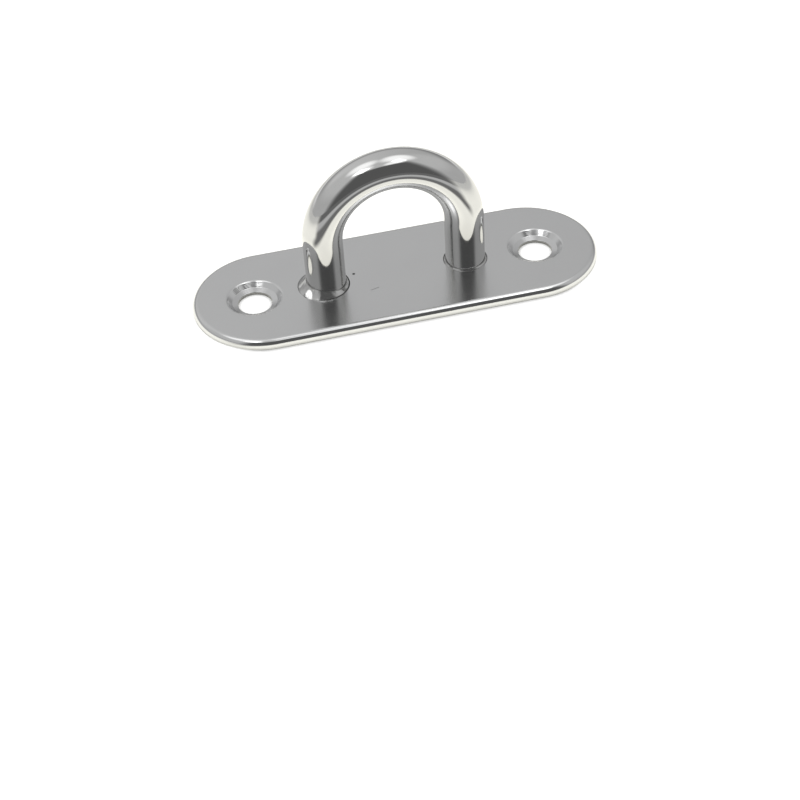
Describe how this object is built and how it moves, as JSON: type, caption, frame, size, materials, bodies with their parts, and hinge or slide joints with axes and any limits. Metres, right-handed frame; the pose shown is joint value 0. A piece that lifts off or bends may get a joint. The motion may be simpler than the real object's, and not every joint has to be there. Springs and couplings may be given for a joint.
{
  "type": "pad eye",
  "caption": "Oblong steel plate with countersunk screw holes and an upright hoop of round bar welded into it, for hanging or tying things to a ceiling, wall or deck.",
  "frame": {"origin": "middle of the plate's flat back, where it meets the ceiling or wall", "axes": "+X along the plate from the leg with the wide weld to the one with the narrow weld, +Y across the plate and through the eye, +Z out of the plate's face towards the crown of the hoop"},
  "size_m": [0.085, 0.03, 0.0314],
  "materials": {
    "satin_plate": "satin stainless steel sheet",
    "polished_bar": "mirror-polished stainless steel bar, not plated",
    "weld_metal": "polished weld metal"
  },
  "bodies": {
    "root": {"base_plate": "satin_plate", "hoop": "polished_bar", "left_weld": "weld_metal", "right_weld": "weld_metal"}
  },
  "joints": []
}
